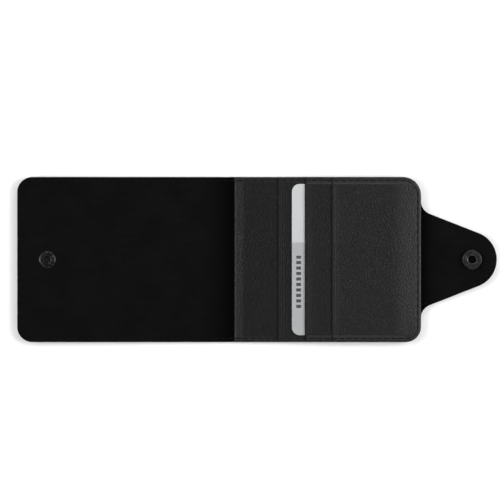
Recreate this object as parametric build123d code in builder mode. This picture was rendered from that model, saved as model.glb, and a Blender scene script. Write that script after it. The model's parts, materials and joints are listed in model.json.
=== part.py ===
"""Snap-tab card holder, opened flat.

One leather shell runs from the cover on the left, over a soft spine, under the pocket
panel and out into the closing tab on the right.  Three stepped card pockets are sewn
onto the shell.  The cover folds over the pockets about the spine, and the tab wraps
round the cover's free edge and snaps onto a stud on the cover's outer face.

Every leather piece is cut from one flat pattern.  Its x runs along the opened holder
from the pocket panel's left edge, its y runs across the holder and its z rises from the
shell's outer face.  Each body has a plane in which those pattern coordinates hold.
The row's origin is the middle of the opened holder, on the surface that it lies on.
"""

import os
from math import asin, atan2, cos, degrees, hypot, radians, sin, sqrt, tan

from build123d import *

# ---- Driving dimensions, in millimetres and degrees --------------------------------

# Flat pattern
holder_height = 93.5
cover_reach = 123.0  # pocket panel's left edge to the cover's free edge
pocket_width = 105.6
tab_length = 42.9  # pocket panel's right edge to the tab's tip
cover_corner = 8.6
pocket_top_corner = 10.4
pocket_bottom_corner = 8.8
tab_tip_radius = 16.1
tab_slope = 21.4  # each long edge of the tab, from the holder's length
tab_root_fillet = 8.0

# Shell, from its outer face inwards
leather = 1.1
filler = 0.6  # board in the cover and back, soft interlining in the spine and tab
lining = 0.7
shell = leather + filler + lining
hem = 3.1  # turned edge that closes the shell round its filler
fit_gap = 0.05

# Snap fastener
stud_reach = 106.0  # pocket panel's left edge to the stud, over the cover
socket_reach = 29.0  # pocket panel's right edge to the socket, over the tab
snap_spacing = 3.0  # cover's outer face to the tab's lining when snapped shut
snap_sheet = 0.35  # thickness of the pressed metal
stud_height = 2.2
stud_tip_radius = 1.9
barrel_outer = 1.6
barrel_inner = 1.35
rivet_hole = 1.65
cap_radius = 6.25
cap_height = 1.6
cap_rim = 0.6
socket_height = 2.5

# Folds
spine_start = 5.85  # first spine fold, left of the pocket panel
closed_gap = 5.8  # between the cover's and the back's linings when closed

# Pockets
layer = 1.0  # one pocket layer at its sewn rim, lining included
pocket_lining = 0.2
lower_edge = 24.8  # each pocket's mouth, from the panel's left edge
middle_edge = 40.2
front_edge = 55.4
panel_roll = 0.9  # rounded left edge of the pocket panel

# Card
card_length = 85.6
card_depth = 54.0
card_thickness = 0.76
card_corner = 4.4
card_left = 32.5

# Stitching
seam_inset = 2.05
mouth_seam_inset = 2.4
groove_width = 0.7
groove_depth = 0.3
thread_width = 0.45
thread_height = 0.25
stitch_length = 2.8
stitch_pitch = 4.2

# ---- Sizes that follow ----------------------------------------------------------------

half_height = holder_height / 2
tab_bridge = closed_gap + shell + snap_spacing

stud_x = -stud_reach
socket_x = pocket_width + socket_reach
spine_fold_x = -spine_start
cover_fold_x = spine_fold_x - closed_gap

# The tab folds where its socket comes to lie over the closed cover's stud.
closed_stud_x = spine_fold_x + (cover_fold_x - stud_x)
wrap_fold_x = (closed_stud_x + socket_x - tab_bridge) / 2
tab_fold_x = wrap_fold_x + tab_bridge

tip_centre = pocket_width + tab_length - tab_tip_radius

card_slot = 0.9
card_level = shell + 2 * layer
pocket_rim = shell + 4 * layer
pocket_top = pocket_rim + card_slot
card_clearance = 0.4
pocket_end = card_left + card_depth + 0.7
pocket_half = card_length / 2 + 0.3
pocket_wall = 0.6

cap_dome_radius = (cap_radius**2 + (cap_height - cap_rim) ** 2) / (2 * (cap_height - cap_rim))


def lay_angle(reach, drop, rise):
    """Angle at which reach*sin(angle) - drop*cos(angle) = rise, in degrees."""
    return degrees(asin(rise / hypot(reach, drop)) + atan2(drop, reach))


# Opened out, the cover leans on its stud and the tab leans on its cap.
cover_lay = lay_angle(
    stud_reach - spine_start - stud_tip_radius, shell + stud_height, -shell
)
tab_lay = lay_angle(
    socket_x - wrap_fold_x,
    shell + cap_height - cap_dome_radius,
    cap_dome_radius - shell,
)

cover_span = (cover_reach - spine_start) * cos(radians(cover_lay)) + shell * sin(radians(cover_lay))
tab_reach = pocket_width + tab_length - wrap_fold_x
tab_span = tab_reach * cos(radians(tab_lay)) + shell * sin(radians(tab_lay))
left_end = spine_fold_x - cover_span
right_end = wrap_fold_x + tab_span
x_shift = -(left_end + right_end) / 2


def laid_plane(hinge_x, angle, side):
    """Pattern plane turned up about a hinge line; side is -1 left of it and 1 right of it."""
    x_dir = Vector(cos(radians(angle)), 0, side * sin(radians(angle)))
    z_dir = Vector(-side * sin(radians(angle)), 0, cos(radians(angle)))
    pivot = Vector(x_shift + hinge_x, 0, shell)
    return Plane(origin=pivot - x_dir * hinge_x - z_dir * shell, x_dir=x_dir, z_dir=z_dir)


back_plane = Plane(origin=(x_shift, 0, 0), x_dir=(1, 0, 0), z_dir=(0, 0, 1))
cover_plane = laid_plane(spine_fold_x, cover_lay, -1)
tab_plane = laid_plane(wrap_fold_x, tab_lay, 1)


# ---- Flat patterns --------------------------------------------------------------------


def tab_tip_turn(tip_radius):
    """Point where the tab's tip arc meets its upper straight edge."""
    slope = radians(tab_slope)
    return tip_centre + tip_radius * sin(slope), tip_radius * cos(slope)


def round_corner(pattern, x, y, radius):
    """Rounds the corner of the sketch being built that lies nearest to a point."""
    fillet(pattern.vertices().sort_by_distance((x, y))[0], radius)


def round_panel(pattern, left, right, half, inset):
    """Rounds the four outer corners of the sketch being built, drawn in by inset."""
    round_corner(pattern, left, half, cover_corner - inset)
    round_corner(pattern, left, -half, cover_corner - inset)
    round_corner(pattern, right, half, pocket_top_corner - inset)
    round_corner(pattern, right, -half, pocket_bottom_corner - inset)


def band(x_from, x_to):
    """Keeps the part of the sketch being built that lies between two x values."""
    with Locations(((x_from + x_to) / 2, 0)):
        Rectangle(x_to - x_from, 2 * holder_height, mode=Mode.INTERSECT)


def shell_pattern(x_from, x_to, inset=0.0):
    """The shell's outline, drawn in by inset and kept between two x values."""
    left, right, half = -cover_reach + inset, pocket_width - inset, half_height - inset
    tip_radius = tab_tip_radius - inset
    turn_x, turn_y = tab_tip_turn(tip_radius)
    root_y = turn_y + (turn_x - right) * tan(radians(tab_slope))
    with BuildSketch() as pattern:
        with BuildLine():
            Polyline(
                (turn_x, turn_y),
                (right, root_y),
                (right, half),
                (left, half),
                (left, -half),
                (right, -half),
                (right, -root_y),
                (turn_x, -turn_y),
            )
            ThreePointArc((turn_x, -turn_y), (tip_centre + tip_radius, 0), (turn_x, turn_y))
        make_face()
        round_panel(pattern, left, right, half, inset)
        round_corner(pattern, right, root_y, tab_root_fillet + inset)
        round_corner(pattern, right, -root_y, tab_root_fillet + inset)
        band(x_from, x_to)
    return pattern.sketch


def panel_pattern(x_from, x_to, inset=0.0):
    """The shell's outline without its tab, drawn in by inset along its sewn edges."""
    left, right, half = -cover_reach + inset, pocket_width - inset, half_height - inset
    with BuildSketch() as pattern:
        with Locations(((left + right) / 2, 0)):
            Rectangle(right - left, 2 * half)
        round_panel(pattern, left, right, half, inset)
        band(x_from, x_to)
    return pattern.sketch


def cut_groove(pattern, face_plane, x_from, x_to, depth):
    """Sinks the seam's groove along the sewn edges of the part being built."""
    with BuildSketch(face_plane) as groove:
        add(pattern(x_from, x_to, seam_inset - groove_width / 2))
        add(pattern(x_from, x_to, seam_inset + groove_width / 2), mode=Mode.SUBTRACT)
    extrude(groove.sketch, amount=depth, mode=Mode.SUBTRACT)


def cut_mouth_groove(plane, mouth_x, top, reach):
    """Sinks the straight groove behind a pocket's mouth."""
    with BuildSketch(plane.offset(top)) as groove:
        with Locations((mouth_x + mouth_seam_inset, 0)):
            Rectangle(groove_width, 2 * reach)
    extrude(groove.sketch, amount=-groove_depth, mode=Mode.SUBTRACT)


# ---- Stitches -------------------------------------------------------------------------


def spots_along(path):
    """Evenly spaced stitch places on a path, each turned along it."""
    count = max(1, round(path.length / stitch_pitch))
    places = []
    for n in range(count):
        share = (n + 0.5) / count
        tangent = path % share
        places.append(Location(path @ share, (0, 0, degrees(atan2(tangent.Y, tangent.X)))))
    return places


def straight_spots(x_from, x_to):
    """Stitch places along both long edges between two x values."""
    seam_y = half_height - seam_inset
    return [
        place
        for y in (seam_y, -seam_y)
        for place in spots_along(Line((x_from, y), (x_to, y)))
    ]


def rounded_spots(x_from, x_end, top_corner, bottom_corner):
    """Stitch places from x_from round the rounded end at x_end and back again."""
    seam_y = half_height - seam_inset
    return spots_along(
        FilletPolyline(
            (x_from, seam_y),
            (x_end, seam_y),
            (x_end, -seam_y),
            (x_from, -seam_y),
            radius=[top_corner - seam_inset, bottom_corner - seam_inset],
        )
    )


def tab_seam_y(x):
    """Half width of the tab's seam at x, on the root's curve or the straight edge."""
    slope = radians(tab_slope)
    seam_radius = tab_root_fillet + seam_inset
    turn_x, turn_y = tab_tip_turn(tab_tip_radius)
    root_y = turn_y + (turn_x - pocket_width) * tan(slope)
    centre_x = pocket_width + tab_root_fillet
    centre_y = root_y + tab_root_fillet * tan((radians(90) - slope) / 2)
    if x < centre_x - seam_radius * sin(slope):
        return centre_y - sqrt(seam_radius**2 - (centre_x - x) ** 2)
    return turn_y + (turn_x - x) * tan(slope) - seam_inset / cos(slope)


def tab_strip_spots(x_from, x_to):
    """Stitch places along both edges of a strip of the tab."""
    count = max(1, round((x_to - x_from) / stitch_pitch))
    step = (x_to - x_from) / count
    places = []
    for n in range(count):
        x = x_from + (n + 0.5) * step
        seam_y = tab_seam_y(x)
        turn = degrees(atan2(tab_seam_y(x + 0.1) - tab_seam_y(x - 0.1), 0.2))
        places.append(Location((x, seam_y), turn))
        places.append(Location((x, -seam_y), -turn))
    return places


def tab_end_spots(x_from):
    """Stitch places from x_from round the tab's tip and back again."""
    tip_radius = tab_tip_radius - seam_inset
    turn_x, turn_y = tab_tip_turn(tip_radius)
    tip_arc = ThreePointArc((turn_x, turn_y), (tip_centre + tip_radius, 0), (turn_x, -turn_y))
    return [
        *spots_along(Line((x_from, tab_seam_y(x_from)), (turn_x, turn_y))),
        *spots_along(tip_arc),
        *spots_along(Line((x_from, -tab_seam_y(x_from)), (turn_x, -turn_y))),
    ]


def sew(plane, runs):
    """Lays stitches: each run is the height of their underside and their places."""
    for height, places in runs:
        with BuildSketch(plane.offset(height)) as threads:
            with Locations(*places):
                SlotOverall(stitch_length, thread_width)
        extrude(threads.sketch, amount=thread_height)


lower_thread = groove_depth - thread_height


def upper_thread(surface):
    """Underside of a stitch that lies in the groove of a surface at this height."""
    return surface - groove_depth + fit_gap


# ---- Shared shell pieces ----------------------------------------------------------------


def finish(part, label):
    """Names a finished piece and writes it."""
    part.part.label = label
    export_step(part.part, f"parts/{label}.step")


def outer_leather(plane, pattern, x_from, x_to, filler_from, filler_to, rivet_x=None):
    """Outer leather of one body, hemmed round the recess that holds its filler."""
    with BuildPart() as piece:
        with BuildSketch(plane):
            add(pattern(x_from, x_to))
        extrude(amount=leather + filler)
        with BuildSketch(plane.offset(leather)):
            add(pattern(filler_from, filler_to, hem))
        extrude(amount=filler, mode=Mode.SUBTRACT)
        cut_groove(pattern, plane, x_from, x_to, groove_depth)
        if rivet_x is not None:
            with BuildSketch(plane):
                with Locations((rivet_x, 0)):
                    Circle(rivet_hole)
            extrude(amount=leather + filler, mode=Mode.SUBTRACT)
    return piece


def filler_sheet(plane, pattern, filler_from, filler_to, rivet_x=None):
    """Board or interlining that lies in the outer leather's recess."""
    with BuildPart() as piece:
        with BuildSketch(plane.offset(leather)):
            add(pattern(filler_from, filler_to, hem + fit_gap))
            if rivet_x is not None:
                with Locations((rivet_x, 0)):
                    Circle(rivet_hole, mode=Mode.SUBTRACT)
        extrude(amount=filler)
    return piece


def lining_sheet(plane, pattern, x_from, x_to, rivet_x=None):
    """Suede lining of one body, grooved for the seam."""
    with BuildPart() as piece:
        with BuildSketch(plane.offset(leather + filler)):
            add(pattern(x_from, x_to))
            if rivet_x is not None:
                with Locations((rivet_x, 0)):
                    Circle(rivet_hole, mode=Mode.SUBTRACT)
        extrude(amount=lining)
        cut_groove(pattern, plane.offset(shell), x_from, x_to, -groove_depth)
    return piece


# ---- Back, spine, cover and tab -----------------------------------------------------------


def make_back():
    """Shell behind the pocket panel, from the first spine fold to the first tab fold."""
    x_from, x_to = spine_fold_x, wrap_fold_x
    filler_from, filler_to = 1.0, pocket_width - hem
    with BuildPart() as piece:
        with BuildSketch(back_plane):
            add(shell_pattern(x_from, x_to))
        extrude(amount=leather + filler)
        with BuildSketch(back_plane.offset(leather)):
            add(panel_pattern(filler_from, filler_to, hem))
        extrude(amount=filler, mode=Mode.SUBTRACT)
        cut_groove(panel_pattern, back_plane, x_from, x_to, groove_depth)
    finish(piece, "back_outer_leather")

    finish(
        filler_sheet(back_plane, panel_pattern, filler_from + fit_gap, filler_to),
        "back_stiffener_board",
    )

    with BuildPart() as piece:
        with BuildSketch(back_plane.offset(leather + filler)):
            add(shell_pattern(x_from, x_to))
        extrude(amount=lining)
        cut_groove(panel_pattern, back_plane.offset(shell), x_from, 0, -groove_depth)
    finish(piece, "back_suede_lining")


def make_soft_strip(name, plane, pattern, x_from, x_to, places):
    """Strip of shell between two folds, with a soft filler instead of board."""
    finish(outer_leather(plane, pattern, x_from, x_to, x_from, x_to), f"{name}_outer_leather")
    finish(filler_sheet(plane, pattern, x_from, x_to), f"{name}_interlining")
    finish(lining_sheet(plane, pattern, x_from, x_to), f"{name}_suede_lining")
    with BuildPart() as piece:
        sew(plane, [(lower_thread, places), (upper_thread(shell), places)])
    finish(piece, f"{name}_stitching")


def make_spine():
    """Soft strip of shell between the spine's two folds."""
    make_soft_strip(
        "spine", cover_plane, panel_pattern, cover_fold_x, spine_fold_x,
        straight_spots(cover_fold_x, spine_fold_x),
    )


def make_cover():
    """Stiff cover beyond the spine."""
    x_from, x_to = -cover_reach, cover_fold_x
    filler_to = x_to - 3.0
    finish(
        outer_leather(cover_plane, panel_pattern, x_from, x_to, x_from, filler_to, stud_x),
        "cover_outer_leather",
    )
    finish(
        filler_sheet(cover_plane, panel_pattern, x_from, filler_to - fit_gap, stud_x),
        "cover_stiffener_board",
    )
    finish(
        lining_sheet(cover_plane, panel_pattern, x_from, x_to, stud_x),
        "cover_suede_lining",
    )
    places = rounded_spots(x_to, -cover_reach + seam_inset, cover_corner, cover_corner)
    with BuildPart() as piece:
        sew(cover_plane, [(lower_thread, places), (upper_thread(shell), places)])
    finish(piece, "cover_stitching")


def make_tab():
    """Closing tab: a strip that wraps the holder's edge, then the stiff end."""
    make_soft_strip(
        "tab_wrap", tab_plane, shell_pattern, wrap_fold_x, tab_fold_x,
        tab_strip_spots(wrap_fold_x, tab_fold_x),
    )
    x_from, x_to = tab_fold_x, pocket_width + tab_length
    finish(
        outer_leather(tab_plane, shell_pattern, x_from, x_to, x_from + 1, x_to, socket_x),
        "tab_outer_leather",
    )
    finish(
        filler_sheet(tab_plane, shell_pattern, x_from + 1 + fit_gap, x_to, socket_x),
        "tab_stiffener",
    )
    finish(lining_sheet(tab_plane, shell_pattern, x_from, x_to, socket_x), "tab_suede_lining")
    places = tab_end_spots(x_from)
    with BuildPart() as piece:
        sew(tab_plane, [(lower_thread, places), (upper_thread(shell), places)])
    finish(piece, "tab_stitching")


# ---- Pocket panel ---------------------------------------------------------------------------


def make_pocket_base():
    """Lowest pocket layer: the panel that the other pockets are sewn onto."""
    with BuildPart() as piece:
        with BuildSketch(back_plane.offset(shell)):
            add(panel_pattern(0, pocket_width))
        extrude(amount=layer)
        left_top = piece.edges().filter_by(Axis.Y).group_by(Axis.X)[0].sort_by(Axis.Z)[-1]
        fillet(left_top, panel_roll)
        cut_groove(
            panel_pattern, back_plane.offset(shell + layer), 0, pocket_width, -groove_depth
        )
    finish(piece, "pocket_base_panel")


def make_lower_pocket():
    """Second layer, lying flat on the base with its lining beneath."""
    bottom = shell + layer
    lined_from, lined_to = lower_edge + 1.0, pocket_end
    with BuildPart() as piece:
        with BuildSketch(back_plane.offset(bottom)):
            add(panel_pattern(lower_edge, pocket_width))
        extrude(amount=layer)
        with BuildSketch(back_plane.offset(bottom)):
            with Locations(((lined_from + lined_to) / 2, 0)):
                Rectangle(lined_to - lined_from, 2 * pocket_half)
        extrude(amount=pocket_lining, mode=Mode.SUBTRACT)
        cut_groove(
            panel_pattern, back_plane.offset(bottom + layer), 0, pocket_width, -groove_depth
        )
        cut_mouth_groove(back_plane, lower_edge, bottom + layer, pocket_half)
    finish(piece, "lower_pocket_leather")
    with BuildPart() as piece:
        with BuildSketch(back_plane.offset(bottom)):
            with Locations(((lined_from + lined_to) / 2, 0)):
                Rectangle(lined_to - lined_from - 2 * fit_gap, 2 * (pocket_half - fit_gap))
        extrude(amount=pocket_lining)
    finish(piece, "lower_pocket_lining")


def raised_box(x_from, x_to, half, low, high, mode=Mode.ADD):
    """Adds or cuts a straight block between two heights of the pocket panel."""
    with BuildSketch(back_plane.offset(low)) as block:
        with Locations(((x_from + x_to) / 2, 0)):
            Rectangle(x_to - x_from, 2 * half)
    extrude(block.sketch, amount=high - low, mode=mode)


def make_middle_pocket():
    """Third layer, raised over the card that it holds, with its lining under the roof."""
    bottom, slot_top = card_level, card_level + card_slot
    lining_top = slot_top + pocket_lining
    lined_from = middle_edge + 1.0
    plateau_half = pocket_half + pocket_wall
    plateau_top = bottom + layer + card_slot
    with BuildPart() as piece:
        with BuildSketch(back_plane.offset(bottom)):
            add(panel_pattern(middle_edge, pocket_width))
        extrude(amount=layer)
        raised_box(
            middle_edge, pocket_end + pocket_wall, plateau_half, bottom, plateau_top
        )
        raised_box(
            middle_edge - 1, pocket_end, pocket_half, bottom, slot_top, Mode.SUBTRACT
        )
        raised_box(
            lined_from, pocket_end, pocket_half, slot_top, lining_top, Mode.SUBTRACT
        )
        cut_groove(
            panel_pattern, back_plane.offset(bottom + layer), 0, pocket_width, -groove_depth
        )
        cut_mouth_groove(back_plane, middle_edge, plateau_top, pocket_half - 1)
    finish(piece, "middle_pocket_leather")
    with BuildPart() as piece:
        raised_box(
            lined_from + fit_gap, pocket_end - fit_gap, pocket_half - fit_gap,
            slot_top, lining_top,
        )
    finish(piece, "middle_pocket_lining")


def make_front_pocket():
    """Top layer, lightly padded, sloping down to its sewn rim on three sides."""
    bottom = shell + 3 * layer
    roof = bottom + card_slot
    hollow_end = pocket_end + pocket_wall + 0.1
    hollow_half = pocket_half + pocket_wall + 0.1
    lined_from = front_edge + 1.0
    lined_half = pocket_half - 0.5
    rim_width, slope_width = 2.5, 1.4
    with BuildPart() as piece:
        with BuildSketch(back_plane.offset(bottom)):
            add(panel_pattern(front_edge, pocket_width))
        extrude(amount=layer)
        with BuildSketch(back_plane.offset(pocket_rim)):
            add(panel_pattern(front_edge, pocket_width, rim_width))
        with BuildSketch(back_plane.offset(pocket_top)):
            add(panel_pattern(front_edge, pocket_width, rim_width + slope_width))
        loft()
        raised_box(front_edge - 1, hollow_end, hollow_half, bottom, roof, Mode.SUBTRACT)
        raised_box(
            lined_from, hollow_end, lined_half, roof, roof + pocket_lining, Mode.SUBTRACT
        )
        cut_groove(
            panel_pattern, back_plane.offset(pocket_rim), 0, pocket_width, -groove_depth
        )
        cut_mouth_groove(
            back_plane, front_edge, pocket_top, half_height - rim_width - slope_width - 1
        )
    finish(piece, "front_pocket_leather")
    with BuildPart() as piece:
        raised_box(
            lined_from + fit_gap, hollow_end - fit_gap, lined_half - fit_gap,
            roof, roof + pocket_lining,
        )
    finish(piece, "front_pocket_lining")


def make_panel_stitching():
    """Seam that sews the pockets to the shell, seen on both faces."""
    seam_end = pocket_width - seam_inset
    corners = (pocket_top_corner, pocket_bottom_corner)
    middle_rim = card_level + layer
    runs = [
        (lower_thread, rounded_spots(spine_fold_x, seam_end, *corners)),
        (upper_thread(shell), straight_spots(spine_fold_x, 0)),
        (upper_thread(shell + layer), straight_spots(panel_roll, lower_edge)),
        (upper_thread(card_level), straight_spots(lower_edge, middle_edge)),
        (upper_thread(middle_rim), straight_spots(middle_edge, front_edge)),
        (upper_thread(pocket_rim), rounded_spots(front_edge, seam_end, *corners)),
    ]
    with BuildPart() as piece:
        sew(back_plane, runs)
    finish(piece, "pocket_panel_stitching")


def make_mouth_stitching():
    """Straight seam behind each pocket's mouth."""
    mouths = [
        ("lower", lower_edge, card_level, pocket_half - 0.5),
        ("middle", middle_edge, card_level + layer + card_slot, pocket_half - 1.5),
        ("front", front_edge, pocket_top, half_height - 5.4),
    ]
    for name, mouth_x, surface, reach in mouths:
        seam_x = mouth_x + mouth_seam_inset
        places = spots_along(Line((seam_x, -reach), (seam_x, reach)))
        with BuildPart() as piece:
            sew(back_plane, [(upper_thread(surface), places)])
        finish(piece, f"{name}_pocket_stitching")


def make_card():
    """Card held in the middle pocket."""
    with BuildPart() as piece:
        with BuildSketch(back_plane.offset(card_level + (card_slot - card_thickness) / 2)):
            with Locations((card_left + card_depth / 2, 0)):
                RectangleRounded(card_depth, card_length, card_corner)
        extrude(amount=card_thickness)
    finish(piece, "card")


# ---- Snap fastener ------------------------------------------------------------------------


def turned(plane, x, height, outward, profile):
    """Solid of revolution about the plane's normal; profile points are (radius, height)."""
    sense = 1 if outward else -1
    centre = plane.from_local_coords(Vector(x, 0, height))
    half_plane = Plane(origin=centre, x_dir=plane.x_dir, z_dir=plane.y_dir * -sense)
    with BuildPart() as piece:
        with BuildSketch(half_plane):
            with BuildLine():
                profile()
            make_face()
        revolve(axis=Axis(centre, plane.z_dir))
    return piece


def stud_profile():
    """Pressed hat with an open top, whose neck the spring ring grips."""
    Polyline(
        (rivet_hole, 0),
        (4.8, 0),
        (4.8, snap_sheet),
        (2.5, snap_sheet),
        (2.2, 0.6),
        (2.2, 1.25),
        (2.42, 1.5),
        (2.42, 1.75),
    )
    RadiusArc((2.42, 1.75), (stud_tip_radius, stud_height), -0.6)
    Polyline(
        (stud_tip_radius, stud_height),
        (1.5, stud_height),
        (1.5, 1.95),
        (1.85, 1.9),
        (2.15, 1.7),
        (2.15, 1.55),
        (2.0, 1.3),
        (2.0, snap_sheet),
        (rivet_hole, snap_sheet),
        (rivet_hole, 0),
    )


def barrel_points(depth):
    """Rolled barrel that passes depth through the shell and clamps the far sheet."""
    return [
        (barrel_outer, 0),
        (barrel_outer, -depth - snap_sheet),
        (1.95, -depth - snap_sheet),
        (1.95, -depth - 2 * snap_sheet + 0.1),
        (barrel_inner, -depth - 2 * snap_sheet),
    ]


def eyelet_profile():
    """Domed ring on the lining, on the barrel that holds the stud."""
    Polyline(*barrel_points(shell), (barrel_inner, 0.2))
    ThreePointArc((barrel_inner, 0.2), (3.0, 0.55), (4.7, 0.15))
    Polyline((4.7, 0.15), (4.7, 0), (barrel_outer, 0))


def socket_profile():
    """Pressed cup whose curled lip keeps the spring ring in."""
    Polyline((rivet_hole, 0), (4.9, 0))
    ThreePointArc((4.9, 0), (5.33, 0.17), (5.5, 0.6))
    Line((5.5, 0.6), (5.5, 1.9))
    ThreePointArc((5.5, 1.9), (5.33, 2.33), (4.9, socket_height))
    Line((4.9, socket_height), (3.1, socket_height))
    ThreePointArc((3.1, socket_height), (2.7, 2.36), (2.55, 2.05))
    Polyline(
        (2.55, 2.05),
        (2.8, 2.05),
        (2.95, 2.2),
        (4.85, 2.2),
        (5.15, 1.9),
        (5.15, 0.6),
        (4.85, snap_sheet),
        (rivet_hole, snap_sheet),
        (rivet_hole, 0),
    )


def cap_post_profile():
    """Flat-headed post under the cap, on the barrel that holds the socket."""
    Polyline(
        *barrel_points(shell),
        (barrel_inner, snap_sheet),
        (5.2, snap_sheet),
        (5.2, 0),
        (barrel_outer, 0),
    )


def cap_profile():
    """Domed cap pressed over the post's head."""
    Polyline((5.3, 0), (6.05, 0))
    ThreePointArc((6.05, 0), (6.19, 0.06), (cap_radius, 0.2))
    Line((cap_radius, 0.2), (cap_radius, cap_rim))
    RadiusArc((cap_radius, cap_rim), (0, cap_height), -cap_dome_radius)
    Polyline((0, cap_height), (0, cap_height - snap_sheet), (4.6, 0.9), (5.3, 0.6), (5.3, 0))


def make_fastener():
    """Stud and eyelet on the cover; socket, spring ring, post and cap on the tab."""
    finish(turned(cover_plane, stud_x, 0, False, stud_profile), "snap_stud")
    finish(turned(cover_plane, stud_x, shell, True, eyelet_profile), "snap_eyelet")
    finish(turned(tab_plane, socket_x, shell, True, socket_profile), "snap_socket")
    finish(turned(tab_plane, socket_x, 0, False, cap_post_profile), "snap_cap_post")
    finish(turned(tab_plane, socket_x, 0, False, cap_profile), "snap_cap")

    ring_radius, wire_radius, ring_height, ring_gap = 2.62, 0.25, 1.72, 30
    centre = tab_plane.from_local_coords(Vector(socket_x, 0, shell + ring_height))
    section = tab_plane.from_local_coords(Vector(socket_x + ring_radius, 0, shell + ring_height))
    with BuildPart() as piece:
        with BuildSketch(Plane(origin=section, x_dir=tab_plane.x_dir, z_dir=tab_plane.y_dir)):
            Circle(wire_radius)
        revolve(axis=Axis(centre, tab_plane.z_dir), revolution_arc=360 - ring_gap)
    finish(piece, "snap_spring_ring")


make_back()
make_spine()
make_cover()
make_tab()
make_pocket_base()
make_lower_pocket()
make_middle_pocket()
make_front_pocket()
make_panel_stitching()
make_mouth_stitching()
make_card()
make_fastener()

# The record and the surface work both need these places, so the script prints them.
print(f"closed gap {closed_gap:.3f}, tab bridge {tab_bridge:.3f}, tab fold {wrap_fold_x:.3f}")
print(f"cover lay {cover_lay:.4f} deg, tab lay {tab_lay:.4f} deg, x shift {x_shift:.4f}")
for name, plane, fold_x in (
    ("spine", cover_plane, spine_fold_x),
    ("cover", cover_plane, cover_fold_x),
    ("wrap", tab_plane, wrap_fold_x),
    ("tab", tab_plane, tab_fold_x),
):
    print(name, "fold", plane.from_local_coords(Vector(fold_x, 0, shell)))
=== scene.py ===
"""Looks of the snap-tab card holder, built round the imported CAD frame.

Leather and lining are made in pattern coordinates: x along the opened holder from the pocket
panel's left edge, y across it and z up from the shell's outer face, all in millimetres.  They
are then cut under the pockets and at the middle of each folding strip, laid in the row frame
(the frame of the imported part, in metres) and blended across the folds.
"""

import json
import math

import bmesh
import bpy
import numpy as np
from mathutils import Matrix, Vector
from mathutils.geometry import delaunay_2d_cdt


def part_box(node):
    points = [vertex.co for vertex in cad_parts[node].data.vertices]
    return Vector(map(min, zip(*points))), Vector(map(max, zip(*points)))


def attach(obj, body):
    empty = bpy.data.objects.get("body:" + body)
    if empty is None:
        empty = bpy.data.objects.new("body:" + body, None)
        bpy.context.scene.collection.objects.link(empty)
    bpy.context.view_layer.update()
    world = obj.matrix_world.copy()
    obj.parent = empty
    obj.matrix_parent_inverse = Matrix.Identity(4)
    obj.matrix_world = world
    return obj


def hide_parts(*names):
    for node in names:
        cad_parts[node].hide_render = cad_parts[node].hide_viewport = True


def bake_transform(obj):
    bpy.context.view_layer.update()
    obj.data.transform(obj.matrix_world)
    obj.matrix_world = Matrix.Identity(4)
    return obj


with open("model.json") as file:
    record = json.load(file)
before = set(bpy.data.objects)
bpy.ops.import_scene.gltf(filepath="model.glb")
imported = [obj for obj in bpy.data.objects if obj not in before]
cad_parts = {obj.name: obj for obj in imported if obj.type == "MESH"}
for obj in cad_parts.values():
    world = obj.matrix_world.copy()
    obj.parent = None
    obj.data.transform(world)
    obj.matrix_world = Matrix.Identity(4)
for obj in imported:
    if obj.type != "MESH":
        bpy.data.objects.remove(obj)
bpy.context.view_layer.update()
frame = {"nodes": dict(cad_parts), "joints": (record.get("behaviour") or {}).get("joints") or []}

MM = 0.001

# ---- Places taken from the frame -----------------------------------------------------------


def node_box(name):
    """Lowest and highest corner of a CAD node, in millimetres."""
    low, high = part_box(name)
    return low / MM, high / MM


def joint_point(name):
    """A hinge's place, in millimetres."""
    joint = next(j for j in frame["joints"] if j["name"] == name)
    return Vector(joint["pos_m"]) / MM


panel_low, panel_high = node_box("pocket_base_panel")
PANEL_X = panel_low.x
PANEL_WIDTH = panel_high.x - panel_low.x
HALF = panel_high.y
SHELL = panel_low.z
LAYER = panel_high.z - panel_low.z
LEATHER_TOP = node_box("back_outer_leather")[1].z

spine_fold, cover_fold = joint_point("spine_fold"), joint_point("cover_fold")
wrap_fold, tab_fold = joint_point("tab_wrap_fold"), joint_point("tab_fold")
SPINE_FOLD = spine_fold.x - PANEL_X
COVER_FOLD = SPINE_FOLD - (cover_fold - spine_fold).length
WRAP_FOLD = wrap_fold.x - PANEL_X
TAB_FOLD = WRAP_FOLD + (tab_fold - wrap_fold).length
COVER_LAY = math.atan2(cover_fold.z - spine_fold.z, spine_fold.x - cover_fold.x)
TAB_LAY = math.atan2(tab_fold.z - wrap_fold.z, tab_fold.x - wrap_fold.x)

LOWER_X = node_box("lower_pocket_leather")[0].x - PANEL_X
MIDDLE_X = node_box("middle_pocket_leather")[0].x - PANEL_X
FRONT_X = node_box("front_pocket_leather")[0].x - PANEL_X
CARD_RIM = SHELL + 2 * LAYER
MIDDLE_TOP = node_box("middle_pocket_leather")[1].z
FRONT_TOP = node_box("front_pocket_leather")[1].z
SLOT = MIDDLE_TOP - CARD_RIM - LAYER

# ---- Pattern sizes -------------------------------------------------------------------------

STUD_X = 106.0
SOCKET_X = PANEL_WIDTH + 29.0
SNAP_HOLE_RADIUS = 1.62
COVER_REACH = 123.0
COVER_CORNER = 8.6
TOP_CORNER = 10.4
BOTTOM_CORNER = 8.8
TAB_LENGTH = 42.9
TIP_RADIUS = 16.1
TAB_SLOPE = math.radians(21.4)
ROOT_FILLET = 8.0
SEAM_INSET = 2.05
MOUTH_INSET = 2.4
MOUTH_PROUD = 0.4
POCKET_LINING = 0.2
STITCH_PITCH = 4.2
STITCH_LENGTH = 3.0
THREAD_RADIUS = 0.22
SKIN_DEPTH = 0.35
BACK_SPLIT = 60.0

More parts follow.
